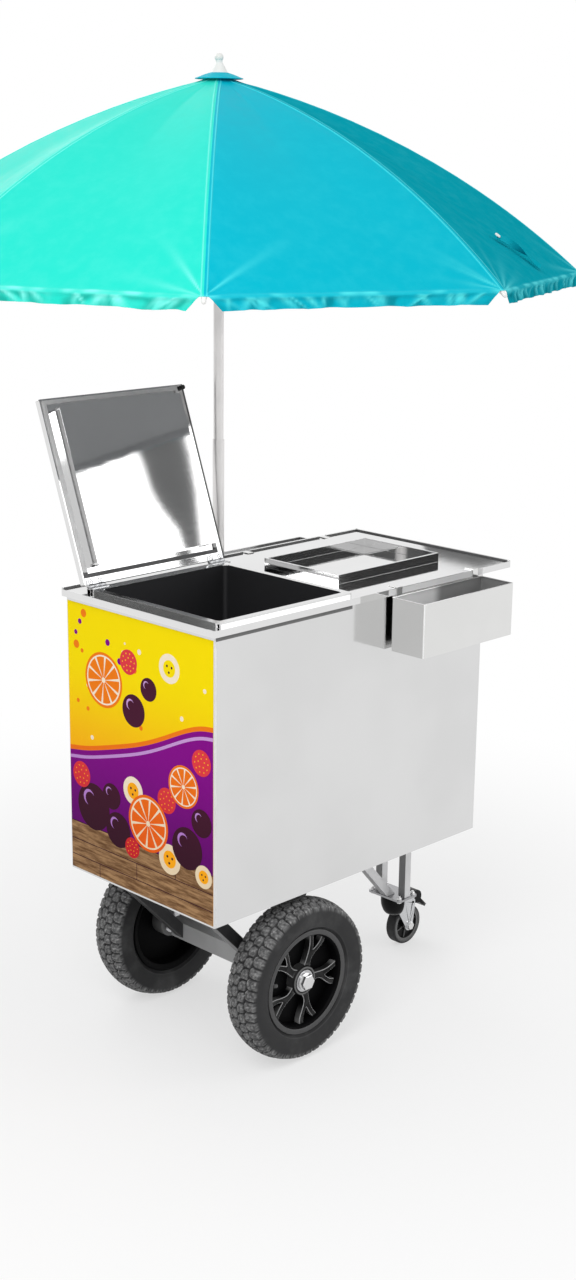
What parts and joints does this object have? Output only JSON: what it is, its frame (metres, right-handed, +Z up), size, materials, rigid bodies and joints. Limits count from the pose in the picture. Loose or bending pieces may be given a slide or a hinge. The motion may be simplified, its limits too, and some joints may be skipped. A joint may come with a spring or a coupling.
{
  "type": "acai cart",
  "caption": "Polished steel acai push cart with a hinged insulated well, worktop, hooked topping bins, spoked wheels, braked caster and a folding market umbrella.",
  "frame": {"origin": "on the floor, under the axis of the umbrella pole, at the middle of the canopy", "axes": "+X from the printed end to the caster end, +Y towards the back with the lid hinges, +Z up"},
  "size_m": [1.5394, 1.5394, 2.0295],
  "materials": {
    "polished_steel": "polished",
    "tub_steel": "satin",
    "zinc_steel": "satin",
    "frame_paint": "satin",
    "dark_paint": "satin",
    "foam": "matte",
    "print": "gloss",
    "tyre_rubber": "matte",
    "black_plastic": "satin",
    "white_plastic": "satin",
    "black_rubber": "matte",
    "bearing_steel": "polished",
    "pole_paint": "gloss",
    "canopy_cloth": "matte"
  },
  "bodies": {
    "cart": {"casing": "polished_steel", "base_pan": "polished_steel", "tub": "tub_steel", "insulation": "foam", "worktop": "polished_steel", "tray_collar": "polished_steel", "print_film": "print", "hinge_rail": "polished_steel", "hinge_frame_leaves": "zinc_steel", "hinge_pins": "zinc_steel", "pole_holder": "frame_paint", "axle_beam": "frame_paint", "axle_arms": "dark_paint", "axle_rod": "zinc_steel", "axle_nuts": "zinc_steel", "caster_legs": "frame_paint", "caster_brace": "frame_paint", "caster_plate": "zinc_steel"},
    "lid": {"lid_cover": "polished_steel", "lid_plug": "polished_steel", "lid_core": "foam", "lid_gasket": "black_rubber", "hinge_lid_leaves": "zinc_steel"},
    "near_bin_body": {"near_bin": "polished_steel"},
    "far_bin_body": {"far_bin": "polished_steel"},
    "near_wheel": {"near_tyre": "tyre_rubber", "near_rim": "black_plastic", "near_bearings": "bearing_steel"},
    "far_wheel": {"far_tyre": "tyre_rubber", "far_rim": "black_plastic", "far_bearings": "bearing_steel"},
    "caster_swivel_body": {"caster_fork": "zinc_steel", "caster_axle": "zinc_steel", "caster_hood": "black_plastic"},
    "caster_roller": {"caster_wheel": "black_plastic", "caster_tread": "black_rubber"},
    "brake": {"brake_pedal": "black_plastic"},
    "clamp_knob": {"holder_knob": "black_plastic"},
    "pole_lower": {"lower_pole": "pole_paint"},
    "pole_upper": {"upper_pole": "pole_paint", "crown": "white_plastic", "finial": "white_plastic", "canopy": "canopy_cloth"},
    "umbrella_runner": {"runner": "white_plastic"},
    "rib_body_1": {"rib_1": "zinc_steel"},
    "strut_body_1": {"strut_1": "zinc_steel"},
    "rib_body_2": {"rib_2": "zinc_steel"},
    "strut_body_2": {"strut_2": "zinc_steel"},
    "rib_body_3": {"rib_3": "zinc_steel"},
    "strut_body_3": {"strut_3": "zinc_steel"},
    "rib_body_4": {"rib_4": "zinc_steel"},
    "strut_body_4": {"strut_4": "zinc_steel"},
    "rib_body_5": {"rib_5": "zinc_steel"},
    "strut_body_5": {"strut_5": "zinc_steel"},
    "rib_body_6": {"rib_6": "zinc_steel"},
    "strut_body_6": {"strut_6": "zinc_steel"},
    "rib_body_7": {"rib_7": "zinc_steel"},
    "strut_body_7": {"strut_7": "zinc_steel"},
    "rib_body_8": {"rib_8": "zinc_steel"},
    "strut_body_8": {"strut_8": "zinc_steel"}
  },
  "joints": [
    {"name": "lid_hinge", "type": "hinge", "parent": "cart", "child": "lid", "pos_m": [0, -0.076, 0.9777], "axis": [1, 0, 0], "range_deg": [0, 110.6]},
    {"name": "near_bin_lift", "type": "slide", "parent": "cart", "child": "near_bin_body", "axis": [0, 0, 1], "range_m": [0, 0.15]},
    {"name": "far_bin_lift", "type": "slide", "parent": "cart", "child": "far_bin_body", "axis": [0, 0, 1], "range_m": [0, 0.15]},
    {"name": "near_wheel_spin", "type": "hinge", "parent": "cart", "child": "near_wheel", "pos_m": [-0.205, -0.459, 0.1725], "axis": [0, 1, 0], "continuous": true},
    {"name": "far_wheel_spin", "type": "hinge", "parent": "cart", "child": "far_wheel", "pos_m": [-0.205, -0.04, 0.1725], "axis": [0, 1, 0], "continuous": true},
    {"name": "caster_swivel", "type": "hinge", "parent": "cart", "child": "caster_swivel_body", "pos_m": [0.34, -0.2495, 0.12], "axis": [0, 0, 1], "continuous": true},
    {"name": "caster_spin", "type": "hinge", "parent": "caster_swivel_body", "child": "caster_roller", "pos_m": [0.376, -0.2495, 0.048], "axis": [0, 1, 0], "continuous": true},
    {"name": "brake_tip", "type": "hinge", "parent": "caster_swivel_body", "child": "brake", "pos_m": [0.388, -0.2495, 0.104], "axis": [0, 1, 0], "range_deg": [0, 20]},
    {"name": "knob_turn", "type": "hinge", "parent": "cart", "child": "clamp_knob", "pos_m": [0, 0.03, 0.895], "axis": [0, 1, 0], "range_deg": [-360, 0]},
    {"name": "pole_turn", "type": "hinge", "parent": "cart", "child": "pole_lower", "pos_m": [0, 0, 0.9], "axis": [0, 0, 1], "continuous": true},
    {"name": "pole_raise", "type": "slide", "parent": "pole_lower", "child": "pole_upper", "axis": [0, 0, 1], "range_m": [0, 0.12]},
    {"name": "runner_slide", "type": "slide", "parent": "pole_upper", "child": "umbrella_runner", "axis": [0, 0, 1], "range_m": [-0.2421, 0], "deforming": ["canopy"]},
    {"name": "rib_1_fold", "type": "hinge", "parent": "pole_upper", "child": "rib_body_1", "pos_m": [0.022, 0, 1.97118], "axis": [0, 1, 0], "range_deg": [0, 28.05]},
    {"name": "strut_1_fold", "type": "hinge", "parent": "rib_body_1", "child": "strut_body_1", "pos_m": [0.30479, 0, 1.87104], "axis": [0, 1, 0], "range_deg": [-56.1, 0]},
    {"name": "rib_2_fold", "type": "hinge", "parent": "pole_upper", "child": "rib_body_2", "pos_m": [0.01556, 0.01556, 1.97118], "axis": [-0.7071, 0.7071, 0], "range_deg": [0, 28.05]},
    {"name": "strut_2_fold", "type": "hinge", "parent": "rib_body_2", "child": "strut_body_2", "pos_m": [0.21552, 0.21552, 1.87104], "axis": [-0.7071, 0.7071, 0], "range_deg": [-56.1, 0]},
    {"name": "rib_3_fold", "type": "hinge", "parent": "pole_upper", "child": "rib_body_3", "pos_m": [0, 0.022, 1.97118], "axis": [-1, 0, 0], "range_deg": [0, 28.05]},
    {"name": "strut_3_fold", "type": "hinge", "parent": "rib_body_3", "child": "strut_body_3", "pos_m": [0, 0.30479, 1.87104], "axis": [-1, 0, 0], "range_deg": [-56.1, 0]},
    {"name": "rib_4_fold", "type": "hinge", "parent": "pole_upper", "child": "rib_body_4", "pos_m": [-0.01556, 0.01556, 1.97118], "axis": [-0.7071, -0.7071, 0], "range_deg": [0, 28.05]},
    {"name": "strut_4_fold", "type": "hinge", "parent": "rib_body_4", "child": "strut_body_4", "pos_m": [-0.21552, 0.21552, 1.87104], "axis": [-0.7071, -0.7071, 0], "range_deg": [-56.1, 0]},
    {"name": "rib_5_fold", "type": "hinge", "parent": "pole_upper", "child": "rib_body_5", "pos_m": [-0.022, 0, 1.97118], "axis": [0, -1, 0], "range_deg": [0, 28.05]},
    {"name": "strut_5_fold", "type": "hinge", "parent": "rib_body_5", "child": "strut_body_5", "pos_m": [-0.30479, 0, 1.87104], "axis": [0, -1, 0], "range_deg": [-56.1, 0]},
    {"name": "rib_6_fold", "type": "hinge", "parent": "pole_upper", "child": "rib_body_6", "pos_m": [-0.01556, -0.01556, 1.97118], "axis": [0.7071, -0.7071, 0], "range_deg": [0, 28.05]},
    {"name": "strut_6_fold", "type": "hinge", "parent": "rib_body_6", "child": "strut_body_6", "pos_m": [-0.21552, -0.21552, 1.87104], "axis": [0.7071, -0.7071, 0], "range_deg": [-56.1, 0]},
    {"name": "rib_7_fold", "type": "hinge", "parent": "pole_upper", "child": "rib_body_7", "pos_m": [0, -0.022, 1.97118], "axis": [1, 0, 0], "range_deg": [0, 28.05]},
    {"name": "strut_7_fold", "type": "hinge", "parent": "rib_body_7", "child": "strut_body_7", "pos_m": [0, -0.30479, 1.87104], "axis": [1, 0, 0], "range_deg": [-56.1, 0]},
    {"name": "rib_8_fold", "type": "hinge", "parent": "pole_upper", "child": "rib_body_8", "pos_m": [0.01556, -0.01556, 1.97118], "axis": [0.7071, 0.7071, 0], "range_deg": [0, 28.05]},
    {"name": "strut_8_fold", "type": "hinge", "parent": "rib_body_8", "child": "strut_body_8", "pos_m": [0.21552, -0.21552, 1.87104], "axis": [0.7071, 0.7071, 0], "range_deg": [-56.1, 0]}
  ],
  "couplings": [
    {"joint": "rib_1_fold", "follows": "runner_slide", "rad_per_m": -2.0187},
    {"joint": "strut_1_fold", "follows": "runner_slide", "rad_per_m": 4.0374},
    {"joint": "rib_2_fold", "follows": "runner_slide", "rad_per_m": -2.0187},
    {"joint": "strut_2_fold", "follows": "runner_slide", "rad_per_m": 4.0374},
    {"joint": "rib_3_fold", "follows": "runner_slide", "rad_per_m": -2.0187},
    {"joint": "strut_3_fold", "follows": "runner_slide", "rad_per_m": 4.0374},
    {"joint": "rib_4_fold", "follows": "runner_slide", "rad_per_m": -2.0187},
    {"joint": "strut_4_fold", "follows": "runner_slide", "rad_per_m": 4.0374},
    {"joint": "rib_5_fold", "follows": "runner_slide", "rad_per_m": -2.0187},
    {"joint": "strut_5_fold", "follows": "runner_slide", "rad_per_m": 4.0374},
    {"joint": "rib_6_fold", "follows": "runner_slide", "rad_per_m": -2.0187},
    {"joint": "strut_6_fold", "follows": "runner_slide", "rad_per_m": 4.0374},
    {"joint": "rib_7_fold", "follows": "runner_slide", "rad_per_m": -2.0187},
    {"joint": "strut_7_fold", "follows": "runner_slide", "rad_per_m": 4.0374},
    {"joint": "rib_8_fold", "follows": "runner_slide", "rad_per_m": -2.0187},
    {"joint": "strut_8_fold", "follows": "runner_slide", "rad_per_m": 4.0374}
  ]
}
